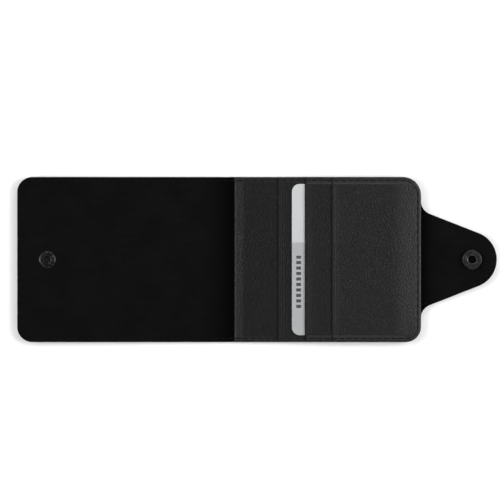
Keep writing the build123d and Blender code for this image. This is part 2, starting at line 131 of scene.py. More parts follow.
TIP_CENTRE = PANEL_WIDTH + TAB_LENGTH - TIP_RADIUS
ROOT_Y = (
    TIP_RADIUS * math.cos(TAB_SLOPE)
    + (TIP_CENTRE + TIP_RADIUS * math.sin(TAB_SLOPE) - PANEL_WIDTH) * math.tan(TAB_SLOPE)
)
ROOT_CENTRE_Y = ROOT_Y + ROOT_FILLET * math.tan((math.pi / 2 - TAB_SLOPE) / 2)


def smooth(t):
    """Eases from 0 to 1 as t goes from 0 to 1."""
    t = np.clip(t, 0.0, 1.0)
    return t * t * (3 - 2 * t)


def bell(t):
    """1 at t = 0, falling to nearly nothing past t = 2."""
    return np.exp(-t * t)


def quarter(t, radius):
    """Drop of a rounded edge of this radius, at a distance t in from it."""
    inside = np.clip(radius - t, 0.0, radius)
    return radius - np.sqrt(radius * radius - inside * inside)


WAVE_COUNT = 7
WAVE_SIZE = 26.0


def wave(x, y, size, seed):
    """Slow unevenness of a hand-laid sheet, from -1 to 1."""
    rng = np.random.default_rng(seed)
    total = np.zeros(np.shape(x))
    for _ in range(WAVE_COUNT):
        angle, phase = rng.uniform(0, 2 * math.pi, 2)
        period = size * rng.uniform(0.6, 1.6)
        total += np.sin(2 * math.pi * (x * math.cos(angle) + y * math.sin(angle)) / period + phase)
    return total / 4


# ---- From the pattern to the row frame -----------------------------------------------------

# Each spine bend is spread from a little outside its hinge to the middle of the soft strip, and
# each bend of the tab's turn over a fixed length.
FOLD_EASE = 1.0
WRAP_REACH = 3.2
SPINE_MIDDLE = (SPINE_FOLD + COVER_FOLD) / 2
SPINE_BEND = (SPINE_FOLD + FOLD_EASE, SPINE_MIDDLE)
COVER_BEND = (SPINE_MIDDLE, COVER_FOLD - FOLD_EASE)
WRAP_MIDDLE = (WRAP_FOLD + TAB_FOLD) / 2
WRAP_BEND = (WRAP_FOLD - FOLD_EASE, WRAP_FOLD + WRAP_REACH)
TAB_BEND = (TAB_FOLD - WRAP_REACH, TAB_FOLD + FOLD_EASE)


def turn(x, z, hinge_x, angle):
    """Turns points about a hinge on the lining's face; a positive angle raises +x."""
    dx, dz = x - hinge_x, z - SHELL
    return (
        hinge_x + dx * np.cos(angle) - dz * np.sin(angle),
        SHELL + dx * np.sin(angle) + dz * np.cos(angle),
    )


def to_row(points):
    """Pattern points in millimetres, as they lie in the row frame, in metres."""
    x, y, z = np.asarray(points, float).T
    left = smooth((SPINE_BEND[0] - x) / (SPINE_BEND[0] - SPINE_BEND[1]))
    right = smooth((x - WRAP_BEND[0]) / (WRAP_BEND[1] - WRAP_BEND[0]))
    x, z = turn(x, z, SPINE_FOLD, -COVER_LAY * left)
    x, z = turn(x, z, WRAP_FOLD, TAB_LAY * right)
    return np.stack([x + PANEL_X, y, z], axis=1) * MM


# ---- Materials -----------------------------------------------------------------------------

# Colours are linear.  Lengths that a shader sees, and the distances of bumps, are in metres.
LEATHER_DARK = (0.0009, 0.0009, 0.0010)
LEATHER_LIGHT = (0.0030, 0.0030, 0.0031)
# Black dye of the cut edges; the same colour is painted shade in the seam grooves and along the
# folded pocket mouths.
LEATHER_DYE_AND_SHADE = (0.0006, 0.0006, 0.0006)
SUEDE_DARK = (0.0016, 0.0016, 0.0016)
SUEDE_LIGHT = (0.0048, 0.0046, 0.0045)
THREAD_COLOURS = (0.0015, 0.0015, 0.0015), (0.005, 0.005, 0.0052)
TWILL_COLOURS = (0.004, 0.004, 0.005), (0.014, 0.014, 0.015)
BOARD_COLOURS = (0.22, 0.21, 0.19), (0.40, 0.38, 0.35)
CARD_PALE = (0.43, 0.435, 0.44), (0.47, 0.475, 0.48)
CARD_MID = (0.30, 0.305, 0.31), (0.335, 0.34, 0.345)
CARD_INK = (0.050, 0.051, 0.053)
# Painted shade inside the snaps' holes.
BORE_SHADE = (0.001, 0.001, 0.001)
FLOOR_COLOURS = (0.89, 0.89, 0.89), (0.91, 0.91, 0.91)

# Noise sizes, per metre
GRAIN_SHIFT = 700.0
PEBBLES = 1150.0
CREASES = 620.0
PORES = 5200.0
SUEDE_NAP = 3400.0
SUEDE_STROKES = 420.0
SUEDE_PATCHES = 55.0

# The middle part of a noise's range, which is what most of a surface shows
NOISE_LOW, NOISE_HIGH = 0.3, 0.7


class Nodes:
    """Short way to write a node material."""

    def __init__(self, name):
        self.material = bpy.data.materials.new(name)
        self.material.use_nodes = True
        self.tree = self.material.node_tree
        self.shader = self.tree.nodes["Principled BSDF"]

    def add(self, kind, inputs=None, **settings):
        """A new node with its settings made and its inputs linked or filled in."""
        node = self.tree.nodes.new(kind)
        for key, value in settings.items():
            setattr(node, key, value)
        for key, value in (inputs or {}).items():
            self.put(node.inputs[key], value)
        return node

    def put(self, socket, value):
        """Links a socket to another one, or sets its value."""
        if isinstance(value, bpy.types.NodeSocket):
            self.tree.links.new(value, socket)
        else:
            socket.default_value = value

    def set(self, **values):
        """Links or sets the shader's inputs, named with underscores for spaces."""
        for key, value in values.items():
            self.put(self.shader.inputs[key.replace("_", " ")], value)

    def rest_place(self):
        """Where a point lies on the unfolded pattern."""
        return self.add("ShaderNodeAttribute", attribute_name="rest").outputs["Vector"]

    def object_place(self):
        """Where a point lies in its object."""
        return self.add("ShaderNodeTexCoord").outputs["Object"]

    def vector(self, operation, *inputs):
        """Vector maths on sockets or constant vectors."""
        node = self.add("ShaderNodeVectorMath", operation=operation)
        for socket, value in zip(node.inputs, inputs):
            self.put(socket, value)
        return node.outputs["Value" if operation == "LENGTH" else "Vector"]

    def noise(self, vector, scale, detail=3.0, roughness=0.55):
        node = self.add(
            "ShaderNodeTexNoise",
            {"Vector": vector, "Scale": scale, "Detail": detail, "Roughness": roughness},
        )
        return node.outputs["Fac"]

    def cells(self, vector, scale, feature, smoothness=None):
        node = self.add(
            "ShaderNodeTexVoronoi", {"Vector": vector, "Scale": scale}, feature=feature
        )
        if smoothness is not None:
            node.inputs["Smoothness"].default_value = smoothness
        return node.outputs["Distance"]

    def bands(self, vector, scale, distortion):
        """Diagonal bands, as of a twisted ply or a twill weave."""
        node = self.add(
            "ShaderNodeTexWave",
            {"Vector": vector, "Scale": scale, "Distortion": distortion},
            wave_type="BANDS",
            bands_direction="DIAGONAL",
        )
        return node.outputs["Fac"]

    def math(self, operation, a, b=0.0, clamp=False):
        node = self.add("ShaderNodeMath", operation=operation, use_clamp=clamp)
        self.put(node.inputs[0], a)
        self.put(node.inputs[1], b)
        return node.outputs[0]

    def plus(self, a, b, share):
        """a with a share of b added."""
        return self.math("ADD", a, self.math("MULTIPLY", b, share))

    def ramp(self, value, low, high, to_low=0.0, to_high=1.0):
        """Maps low..high to to_low..to_high, and keeps within them."""
        node = self.add(
            "ShaderNodeMapRange",
            {"From Min": low, "From Max": high, "To Min": to_low, "To Max": to_high},
        )
        self.put(node.inputs["Value"], value)
        return node.outputs["Result"]

    def spread(self, noise, to_low, to_high):
        """The middle part of a noise, mapped to to_low..to_high."""
        return self.ramp(noise, NOISE_LOW, NOISE_HIGH, to_low, to_high)

    def mix(self, factor, a, b):
        """Colour a where the factor is 0 and b where it is 1."""
        node = self.add("ShaderNodeMix", data_type="RGBA")
        self.put(node.inputs[0], factor)
        self.put(node.inputs[6], (*a, 1.0) if isinstance(a, tuple) else a)
        self.put(node.inputs[7], (*b, 1.0) if isinstance(b, tuple) else b)
        return node.outputs[2]

    def bump(self, height, distance, strength=1.0):
        node = self.add(
            "ShaderNodeBump", {"Height": height, "Distance": distance, "Strength": strength}
        )
        return node.outputs["Normal"]


def leather_material(name, gloss):
    """Black leather with fine pebbled grain and a little wear; edge darkens and dulls it: dye on
    cut edges, painted shade in seams and folds.
    """
    n = Nodes(name)
    p = n.rest_place()
    wander = n.noise(p, 260.0, 2.0)
    drift = n.add("ShaderNodeTexNoise", {"Vector": p, "Scale": GRAIN_SHIFT}).outputs["Color"]
    shifted = n.vector("MULTIPLY_ADD", drift, (0.0006, 0.0006, 0.0006), p)
    pebble = n.cells(shifted, PEBBLES, "SMOOTH_F1", 0.35)
    crease = n.cells(shifted, CREASES, "DISTANCE_TO_EDGE")
    height = n.math("MULTIPLY", pebble, -0.55)
    height = n.math("ADD", height, n.ramp(crease, 0.0, 0.10, 0.0, 0.35))
    height = n.plus(height, n.noise(p, PORES, 2.0), 0.18)
    height = n.plus(height, wander, 0.5)
    tone = n.math("MULTIPLY", n.ramp(pebble, 0.15, 0.75, 1.0, 0.0), 0.7)
    tone = n.math("ADD", tone, n.ramp(wander, 0.35, 0.65, 0.0, 0.3))
    # Dye and painted shade: the edge attribute darkens and dulls the cut edges, which carry dye,
    # and the seam grooves and folded pocket mouths, where shade falls.
    edge = n.add("ShaderNodeAttribute", attribute_name="edge").outputs["Fac"]
    satin = n.spread(n.noise(p, 1400.0), 0.34, 0.44)
    n.set(
        Base_Color=n.mix(edge, n.mix(tone, LEATHER_DARK, LEATHER_LIGHT), LEATHER_DYE_AND_SHADE),
        Roughness=n.math("ADD", satin, n.math("MULTIPLY", edge, 0.55), clamp=True),
        Normal=n.bump(height, 0.00010, 0.85),
        Specular_IOR_Level=gloss,
    )
    return n.material


def suede_material():
    """Black suede, short nap brushed in slow patches, with painted shade at the folds and under
    the panel.
    """
    n = Nodes("suede")
    p = n.rest_place()
    nap = n.noise(n.vector("MULTIPLY", p, (1.0, 0.45, 1.0)), SUEDE_NAP, 3.0, 0.7)
    patch = n.noise(p, SUEDE_PATCHES)
    brushed = n.noise(n.vector("MULTIPLY", p, (0.25, 1.0, 1.0)), SUEDE_STROKES)
    tone = n.math("ADD", n.spread(patch, 0.0, 0.4), n.spread(nap, 0.0, 0.35))
    tone = n.math("ADD", tone, n.spread(brushed, 0.0, 0.25))
    # Painted shade: the suede's colour and its nap's variation darken towards the pocket panel's
    # sides, over the spine and at the tab's root, darkest under the panel.
    along = n.add("ShaderNodeSeparateXYZ", {"Vector": p}).outputs["X"]
    middle = (PANEL_WIDTH / 2 - 3) * MM
    from_middle = n.math("ABSOLUTE", n.math("SUBTRACT", along, middle))
    outside = n.math("SUBTRACT", from_middle, middle)
    tone = n.math("MULTIPLY", tone, n.ramp(outside, 0.002, 0.020))
    base = n.mix(n.ramp(outside, 0.001, 0.014), tuple(c * 0.1 for c in SUEDE_DARK), SUEDE_DARK)
    n.set(
        Base_Color=n.mix(tone, base, SUEDE_LIGHT),
        Roughness=0.95,
        Normal=n.bump(n.plus(nap, brushed, 0.5), 0.00022, 0.8),
        Specular_IOR_Level=0.03,
        Sheen_Weight=0.022,
        Sheen_Roughness=0.6,
        Sheen_Tint=(0.5, 0.5, 0.52, 1.0),
    )
    return n.material


def textile_material(name, colours, band, fuzz, dull, specular):
    """Twisted thread or twill, made of diagonal bands with fuzz on them.

    band is (scale, distortion), fuzz (scale, share of the height) and dull the roughness's range.
    """
    n = Nodes(name)
    p = n.rest_place()
    bands = n.bands(p, *band)
    fibres = n.noise(p, fuzz[0])
    height = n.plus(bands, fibres, fuzz[1])
    n.set(
        Base_Color=n.mix(height, *colours),
        Roughness=n.spread(fibres, *dull),
        Normal=n.bump(height, 0.00006),
        Specular_IOR_Level=specular,
    )
    return n.material


def metal_material(name, colour, worn, rough, around=None, bore=0.0):
    """Blackened metal, rubbed a little brighter in patches.

    Painted shade: dark and dull inside a bore of this radius round the middle of node "around".
    """
    n = Nodes(name)
    p = n.object_place()
    scuff = n.noise(p, 900.0, 4.0, 0.6)
    fine = n.noise(n.vector("MULTIPLY", p, (3.0, 1.0, 1.0)), 5200.0, 2.0)
    tone = n.mix(n.ramp(scuff, 0.5, 0.72), colour, worn)
    gloss = n.spread(scuff, rough, rough + 0.14)
    if around is not None:
        low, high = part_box(around)
        offset = n.vector("SUBTRACT", p, (low + high) / 2)
        radius = n.vector("LENGTH", n.vector("MULTIPLY", offset, (1.0, 1.0, 0.0)))
        # Painted shade: the hole in the middle of the snap is painted near black and dulled.
        bore_shade = n.ramp(radius, bore, bore + 0.0002, 1.0, 0.0)
        tone = n.mix(bore_shade, tone, BORE_SHADE)
        gloss = n.math("ADD", gloss, n.math("MULTIPLY", bore_shade, 0.35))
    n.set(
        Base_Color=tone, Roughness=gloss, Normal=n.bump(fine, 0.00002, 0.5), Metallic=0.9
    )
    return n.material


def card_material():
    """Printed plastic card: two greys and a row of plain marks, no lettering."""
    low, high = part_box("card")
    split = low.y + 0.613 * (high.y - low.y)
    row_x = low.x + 0.0038
    marks_low, marks_high = low.y + 0.0150, low.y + 0.0450
    marks_per_metre = 1000.0 / 3.1

    n = Nodes("card_print")
    p = n.object_place()
    axes = n.add("ShaderNodeSeparateXYZ", {"Vector": p})
    x, y = axes.outputs["X"], axes.outputs["Y"]
    tint = n.noise(p, 60.0, 2.0)
    pale = n.ramp(y, split - 0.0002, split + 0.0002)
    paper = n.mix(pale, n.mix(tint, *CARD_MID), n.mix(tint, *CARD_PALE))
    from_row = n.math("ABSOLUTE", n.math("SUBTRACT", x, row_x))
    in_row = n.ramp(from_row, 0.00130, 0.00140, 1.0, 0.0)
    step = n.math("FRACT", n.math("MULTIPLY", y, marks_per_metre))
    in_mark = n.math("MULTIPLY", n.ramp(step, 0.14, 0.18), n.ramp(step, 0.72, 0.76, 1.0, 0.0))
    in_span = n.math(
        "MULTIPLY",
        n.ramp(y, marks_low, marks_low + 0.0001),
        n.ramp(y, marks_high - 0.0001, marks_high, 1.0, 0.0),
    )
    mark = n.math("MULTIPLY", n.math("MULTIPLY", in_row, in_mark), in_span)
    fine = n.noise(p, 9000.0)
    n.set(
        Base_Color=n.mix(mark, paper, CARD_INK),
        Roughness=n.spread(fine, 0.34, 0.44),
        Normal=n.bump(fine, 0.00001, 0.4),
    )
    return n.material


def board_material():
    """Grey pressed board, only seen if the holder is cut open."""
    n = Nodes("board")
    fibre = n.noise(n.object_place(), 2400.0, 4.0)
    n.set(
        Base_Color=n.mix(fibre, *BOARD_COLOURS),
        Roughness=n.spread(fibre, 0.8, 0.95),
        Normal=n.bump(fibre, 0.0001),
    )
    return n.material


outer_grain = leather_material("outer_leather", 0.30)
suede = suede_material()
thread = textile_material("thread", THREAD_COLOURS, (900.0, 1.5), (9000.0, 0.3), (0.6, 0.85), 0.08)
twill = textile_material("twill", TWILL_COLOURS, (420.0, 0.4), (4200.0, 0.4), (0.75, 0.95), 0.5)
snap_black = metal_material("snap_metal", (0.018, 0.018, 0.019), (0.07, 0.07, 0.072), 0.28)
snap_left = metal_material(
    "snap_metal_left", (0.014, 0.014, 0.015), (0.06, 0.06, 0.062), 0.28, "snap_eyelet", 0.0018
)
# Painted highlight: the socket side's metal is a brighter copy of the eyelet side's, standing in
# for the light a rounded flange would catch; its flange is flat here.
snap_right_highlit = metal_material(
    "snap_metal_right_highlit", (0.030, 0.030, 0.031), (0.09, 0.09, 0.092), 0.30, "snap_socket", 0.0022
)
snap_bright = metal_material("spring_wire", (0.16, 0.16, 0.165), (0.30, 0.30, 0.31), 0.30)
card_print = card_material()
board = board_material()


# ---- Meshes --------------------------------------------------------------------------------


def make_object(name, points, faces, material, slot, edge=None):
    """A smooth mesh object from pattern points, laid in the row frame; edge marks edge dye and
    painted shade.
    """
    points = np.asarray(points, float)
    mesh = bpy.data.meshes.new(name)
    mesh.from_pydata(to_row(points).tolist(), [], [list(map(int, f)) for f in faces])
    rest = mesh.attributes.new("rest", "FLOAT_VECTOR", "POINT")
    rest.data.foreach_set("vector", (points * MM).astype(np.float32).ravel())
    if edge is not None:
        dye_and_shade = mesh.attributes.new("edge", "FLOAT", "POINT")
        dye_and_shade.data.foreach_set("value", np.asarray(edge, np.float32))
    mesh.materials.append(material)
    mesh.polygons.foreach_set("use_smooth", [True] * len(mesh.polygons))
    mesh.update()
    obj = bpy.data.objects.new(name, mesh)
    bpy.context.scene.collection.objects.link(obj)
    return obj


def line(start, end, count):
    """Points from start towards end, without the end."""
    t = np.arange(count)[:, None] / count
    return np.array(start) * (1 - t) + np.array(end) * t


def arc(centre, radius, start, end, count):
    """Points round a centre from one angle towards another, in degrees."""
    a = np.radians(start + (end - start) * np.arange(count) / count)
    return np.stack([centre[0] + radius * np.cos(a), centre[1] + radius * np.sin(a)], axis=1)


def shell_outline(inset):
    """The shell's edge drawn in by inset, with the same number of points for any inset."""
    left, right, half = -COVER_REACH + inset, PANEL_WIDTH - inset, HALF - inset
    slope = math.degrees(TAB_SLOPE)
    tip = TIP_RADIUS - inset
    root = ROOT_FILLET + inset
    root_x = PANEL_WIDTH + ROOT_FILLET
    turn_x, turn_y = TIP_CENTRE + tip * math.sin(TAB_SLOPE), tip * math.cos(TAB_SLOPE)
    foot_x = root_x - root * math.sin(TAB_SLOPE)
    foot_y = ROOT_CENTRE_Y - root * math.cos(TAB_SLOPE)
    left_centre = -COVER_REACH + COVER_CORNER
    return np.concatenate(
        [
            line((left_centre, -half), (PANEL_WIDTH - BOTTOM_CORNER, -half), 120),
            arc(
                (PANEL_WIDTH - BOTTOM_CORNER, -HALF + BOTTOM_CORNER),
                BOTTOM_CORNER - inset, -90, 0, 18,
            ),
            line((right, -HALF + BOTTOM_CORNER), (right, -ROOT_CENTRE_Y), 8),
            arc((root_x, -ROOT_CENTRE_Y), root, 180, 90 + slope, 14),
            line((foot_x, -foot_y), (turn_x, -turn_y), 16),
            arc((TIP_CENTRE, 0), tip, slope - 90, 90 - slope, 44),
            line((turn_x, turn_y), (foot_x, foot_y), 16),
            arc((root_x, ROOT_CENTRE_Y), root, -90 - slope, -180, 14),
            line((right, ROOT_CENTRE_Y), (right, HALF - TOP_CORNER), 8),
            arc((PANEL_WIDTH - TOP_CORNER, HALF - TOP_CORNER), TOP_CORNER - inset, 0, 90, 20),
            line((PANEL_WIDTH - TOP_CORNER, half), (left_centre, half), 120),
            arc((left_centre, HALF - COVER_CORNER), COVER_CORNER - inset, 90, 180, 18),
            line((left, HALF - COVER_CORNER), (left, -HALF + COVER_CORNER), 50),
            arc((left_centre, -HALF + COVER_CORNER), COVER_CORNER - inset, 180, 270, 18),
        ]
    )


def circle(x, radius, count):
    """A snap's hole on the middle line."""
    a = np.arange(count) * 2 * math.pi / count
    return np.stack([x + radius * np.cos(a), radius * np.sin(a)], axis=1)


FILL_SPACING = 4.0
HOLE_CLEARANCE = 0.8
RING_CLEARANCE = 0.9


def skin(rings, holes):
    """A flat face with holes, filled inside, that turns over its edge along rings (inset, z).

    rings runs from the hidden lip over the edge to the innermost line.
    """
    points, faces = [], []
    for inset, z in rings:
        ring = shell_outline(inset)
        points.append(np.column_stack([ring, np.full(len(ring), z)]))
    count = len(points[0])
    for k in range(len(rings) - 1):
        for i in range(count):
            j = (i + 1) % count
            faces.append((k * count + i, k * count + j, (k + 1) * count + j, (k + 1) * count + i))
    ring = points[-1][:, :2]
    loops = [ring] + holes
    edges, start = [], 0
    for loop in loops:
        edges += [(start + i, start + (i + 1) % len(loop)) for i in range(len(loop))]
        start += len(loop)
    xs = np.arange(-COVER_REACH + FILL_SPACING, PANEL_WIDTH + TAB_LENGTH, FILL_SPACING)
    ys = np.arange(-HALF + FILL_SPACING * 0.6, HALF, FILL_SPACING)
    gx, gy = [g.ravel() for g in np.meshgrid(xs, ys)]
    keep = inside(gx, gy, ring)
    for hole in holes:
        middle_x, radius = hole[:, 0].mean(), np.ptp(hole[:, 1]) / 2
        keep &= np.hypot(gx - middle_x, gy) > radius + HOLE_CLEARANCE
    coords = np.concatenate(loops + [np.stack([gx[keep], gy[keep]], axis=1)])
    made = delaunay_2d_cdt([Vector(c) for c in coords], edges, [], 1, 1e-5)
    verts, triangles, sources = np.array([tuple(v) for v in made[0]]), made[2], made[3]
    # The innermost ring's points are there already; the others are new.
    inner_start, inner_z = (len(rings) - 1) * count, rings[-1][1]
    numbers, extra = [], []
    for vert, source in zip(verts, sources):
        if source and source[0] < count:
            numbers.append(inner_start + source[0])
        else:
            numbers.append(len(rings) * count + len(extra))
            extra.append((vert[0], vert[1], inner_z))
    faces += [
        tuple(numbers[i] for i in f) for f in triangles if keep_face(verts[list(f)], holes)
    ]
    return np.concatenate(points + [np.array(extra)]), faces


def keep_face(corners, holes):
    """False for a triangle that lies in a hole."""
    middle = corners.mean(axis=0)
    return all(
        np.hypot(middle[0] - hole[:, 0].mean(), middle[1]) > np.ptp(hole[:, 1]) / 2 * 0.98
        for hole in holes
    )


def inside(x, y, ring):
    """Which points lie inside a closed ring, kept a little away from it."""
    hit = np.zeros(len(x), bool)
    near = np.zeros(len(x), bool)
    for (x0, y0), (x1, y1) in zip(ring, np.roll(ring, -1, axis=0)):
        crosses = (y0 > y) != (y1 > y)
        if y0 != y1:
            hit ^= crosses & (x < (x1 - x0) * (y - y0) / (y1 - y0) + x0)
        near |= np.hypot(x - x0, y - y0) < RING_CLEARANCE
    return hit & ~near


BEND_CUTS = 15


def fold_cuts():
    """Pattern x values where the shell is cut finely, so that it can bend."""
    cuts = {SPINE_MIDDLE, WRAP_MIDDLE, BACK_SPLIT}
    for low, high in (SPINE_BEND, COVER_BEND, WRAP_BEND, TAB_BEND):
        cuts |= set(np.linspace(low, high, BEND_CUTS))
    return sorted(cuts)


PIECES = [
    # name, from x, to x, the two bodies, the bend between them, prefixes of the CAD nodes
    ("cover", -1e3, SPINE_MIDDLE, "spine", "cover", COVER_BEND, ["cover"]),
    ("back_left", SPINE_MIDDLE, BACK_SPLIT, "back", "spine", SPINE_BEND, ["back", "spine"]),
    ("back_right", BACK_SPLIT, WRAP_MIDDLE, "back", "tab_wrap", WRAP_BEND, ["tab_wrap"]),
    ("tab", WRAP_MIDDLE, 1e3, "tab_wrap", "tab", TAB_BEND, ["tab"]),
]


def thickened(points, normals, faces, depth):
    """Closes an open skin by a second one, depth inside it, and walls along its edges."""
    count = len(points)
    sides = dict.fromkeys((a, b) for face in faces for a, b in zip(face, face[1:] + face[:1]))
    walls = [(b, a, a + count, b + count) for a, b in sides if (b, a) not in sides]
    inner = [tuple(i + count for i in reversed(face)) for face in faces]
    return np.concatenate([points, points - depth * normals]), faces + inner + walls


def sharpen(mesh, first_wall):
    """Keeps the shading of a skin apart from that of the walls along its cuts."""
    edges = {tuple(sorted(edge.vertices)): edge for edge in mesh.edges}
    for wall in mesh.polygons[first_wall:]:
        for key in wall.edge_keys:
            edges[key].use_edge_sharp = True


def working_mesh(points, faces):
    """A bmesh to cut or mend."""
    bm = bmesh.new()
    verts = [bm.verts.new(p) for p in points]
    for f in faces:
        bm.faces.new([verts[i] for i in f])
    return bm


def capped(points, faces):
    """Closes threads that a cut has left open."""
    bm = working_mesh(points, faces)
    bmesh.ops.holes_fill(bm, edges=[e for e in bm.edges if e.is_boundary], sides=0)
    bm.verts.index_update()
    closed = [[v.index for v in f.verts] for f in bm.faces]
    bm.free()
    return points, closed


def bending_pieces(suffix, points, faces, material, slot, nodes_of, depth=0.0):
    """Cuts a pattern mesh into PIECES and blends each piece across its fold.

    A skin gets a thickness of depth inwards; with none, the cut ends are capped.  nodes_of gives
    the names that a part's CAD nodes may have, of which the frame's own are replaced.
    """
    bm = working_mesh(points, faces)
    for x in fold_cuts():
        geometry = bm.verts[:] + bm.edges[:] + bm.faces[:]
        bmesh.ops.bisect_plane(
            bm, geom=geometry, plane_co=(x, 0, 0), plane_no=(1, 0, 0), dist=1e-4
        )
    bm.verts.index_update()
    all_points = np.array([v.co[:] for v in bm.verts])
    bm.normal_update()
    normals = np.array([v.normal[:] for v in bm.verts])
    all_faces = [[v.index for v in f.verts] for f in bm.faces]
    middles = np.array([f.calc_center_median().x for f in bm.faces])
    bm.free()
    made = {}
    for name, low, high, first, second, (start, end), parts in PIECES:
        chosen = [all_faces[i] for i in np.flatnonzero((middles > low) & (middles < high))]
        if not chosen:
            continue
        used = sorted({i for f in chosen for i in f})
        number = {old: new for new, old in enumerate(used)}
        part_faces = [[number[i] for i in f] for f in chosen]
        if depth:
            closed = thickened(all_points[used], normals[used], part_faces, depth)
        else:
            closed = capped(all_points[used], part_faces)
        obj = make_object(f"{name}_{suffix}", *closed, material, slot)
        if depth:
            sharpen(obj.data, 2 * len(part_faces))
        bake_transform(obj)
        names = [n for part in parts for n in nodes_of(part)]
        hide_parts(*[n for n in names if n in frame["nodes"]])
        made[name] = obj
    return made


# ---- Shell ---------------------------------------------------------------------------------

# The seam's groove: inset and depth
GROOVE = [
    (1.45, 0.0), (1.65, 0.05), (1.82, 0.18), (SEAM_INSET, 0.26), (2.28, 0.18), (2.45, 0.05),
    (2.7, 0.0),
]
SNAP_HOLES = [circle(x, SNAP_HOLE_RADIUS, 24) for x in (-STUD_X, SOCKET_X)]

outer_rings = (
    [(1.2, LEATHER_TOP), (0.0, LEATHER_TOP - 0.02), (0.0, 0.55), (0.05, 0.36), (0.16, 0.18)]
    + [(0.34, 0.06), (0.6, 0.0), (1.1, 0.0)]
    + GROOVE
    + [(3.6, 0.0)]
)
outer_points, outer_faces = skin(outer_rings, SNAP_HOLES)
bending_pieces(
    "leather", outer_points, [f[::-1] for f in outer_faces], outer_grain, "grained_leather",
    lambda part: [
        f"{part}_outer_leather", f"{part}_stiffener_board", f"{part}_stiffener",
        f"{part}_interlining",
    ],
    SKIN_DEPTH,
)

lining_rings = (
    [(1.2, LEATHER_TOP), (0.03, LEATHER_TOP + 0.03), (0.0, LEATHER_TOP + 0.1)]
    + [(0.0, SHELL - 0.3), (0.05, SHELL - 0.15), (0.16, SHELL - 0.05), (0.34, SHELL)]
    + [(0.6, SHELL), (1.1, SHELL)]
    + [(inset, SHELL - depth) for inset, depth in GROOVE]
    + [(3.6, SHELL)]
)
linings = bending_pieces(
    "lining", *skin(lining_rings, SNAP_HOLES), suede, "suede",
    lambda part: [f"{part}_suede_lining"],
    SKIN_DEPTH,
)


# ---- Stitches ------------------------------------------------------------------------------


def spots(path):
    """Stitch places spaced along a path of points: x, y and direction."""
    steps = np.hypot(*np.diff(path, axis=0).T)
    along = np.concatenate([[0], np.cumsum(steps)])
    count = max(1, round(along[-1] / STITCH_PITCH))
    at = (np.arange(count) + 0.5) * along[-1] / count

    def point(distance):
        return np.stack([np.interp(distance, along, path[:, k]) for k in (0, 1)])

    step = 0.3
    ahead = point(at + step) - point(at - step)
    return np.stack([*point(at), np.arctan2(ahead[1], ahead[0])], axis=1)


def panel_seam():
    """The seam's line round the cover and the pocket panel, starting at the spine."""
    inset = SEAM_INSET
    half, left, right = HALF - inset, -COVER_REACH + inset, PANEL_WIDTH - inset
    left_centre = -COVER_REACH + COVER_CORNER
    return np.concatenate(
        [
            line((0, -half), (PANEL_WIDTH - BOTTOM_CORNER, -half), 60),
            arc(
                (PANEL_WIDTH - BOTTOM_CORNER, -HALF + BOTTOM_CORNER),
                BOTTOM_CORNER - inset, -90, 0, 24,
            ),
            line((right, -HALF + BOTTOM_CORNER), (right, HALF - TOP_CORNER), 40),
            arc((PANEL_WIDTH - TOP_CORNER, HALF - TOP_CORNER), TOP_CORNER - inset, 0, 90, 24),
            line((PANEL_WIDTH - TOP_CORNER, half), (left_centre, half), 120),
            arc((left_centre, HALF - COVER_CORNER), COVER_CORNER - inset, 90, 180, 24),
            line((left, HALF - COVER_CORNER), (left, -HALF + COVER_CORNER), 60),
            arc((left_centre, -HALF + COVER_CORNER), COVER_CORNER - inset, 180, 270, 24),
            line((left_centre, -half), (0, -half), 60),
            [(0, -half)],
        ]
    )


def tab_seam():
    """The seam's line round the tab, from one side of its root to the other."""
    path = shell_outline(SEAM_INSET)
    return path[path[:, 0] > PANEL_WIDTH + 0.3]


THREAD_RINGS = 9
THREAD_SIDES = 8
ROUND_SINK = 0.24
MOUTH_SINK = 0.42
OUTSIDE_SINK = 0.43


def threads(places, surface, up, sink=ROUND_SINK):
    """Thread bars at places (x, y, direction), with their crests 2 * THREAD_RADIUS - sink proud.

    surface gives the height they lie at; up is 1 or -1, the side they show on.
    """
    sides = THREAD_SIDES
    points, faces = [], []
    a = np.arange(sides) * 2 * math.pi / sides
    t = np.linspace(-1, 1, THREAD_RINGS)
    radii = THREAD_RADIUS * np.sqrt(np.clip(1 - np.abs(t) ** 3.2, 0.02, 1))
    for place, (x, y, direction) in enumerate(places):
        start = place * THREAD_RINGS * sides
        c, s = math.cos(direction), math.sin(direction)
        for k, r in enumerate(radii):
            along = t[k] * STITCH_LENGTH / 2
            dip = 0.16 * abs(t[k]) ** 3
            side = r * np.cos(a) * 1.12
            px = x + c * along - s * side
            py = y + s * along + c * side
            centre = surface(np.full(1, x + c * along), np.full(1, y + s * along))[0]
            lift = (r * np.sin(a) - sink + THREAD_RADIUS - dip) * up
            points.append(np.stack([px, py, centre + lift], axis=1))
        bar = []
        for k in range(THREAD_RINGS - 1):
            for i in range(sides):
                a0, a1 = start + k * sides + i, start + k * sides + (i + 1) % sides
                bar.append((a0, a0 + sides, a1 + sides, a1))
        last = start + (THREAD_RINGS - 1) * sides
        bar.append(tuple(range(start, start + sides)))
        bar.append(tuple(reversed(range(last, last + sides))))
        faces += bar if up > 0 else [face[::-1] for face in bar]
    return np.concatenate(points), faces


def level(z):
    """A flat surface at this height."""
    return lambda x, y: np.full(len(x), z)


def joined(*meshes):
    """Several (points, faces) as one."""
    points, faces, start = [], [], 0
    for p, f in meshes:
        points.append(p)
        faces += [tuple(i + start for i in face) for face in f]
        start += len(p)
    return np.concatenate(points), faces


def pocket_surface(x, y):
    """Rim height of the topmost layer at a place on the pocket panel."""
    z = np.full(np.shape(x), SHELL, float)
    for edge in (0.0, LOWER_X, MIDDLE_X, FRONT_X):
        z = z + LAYER * smooth((x - edge + 0.25) / 0.7)
    return z


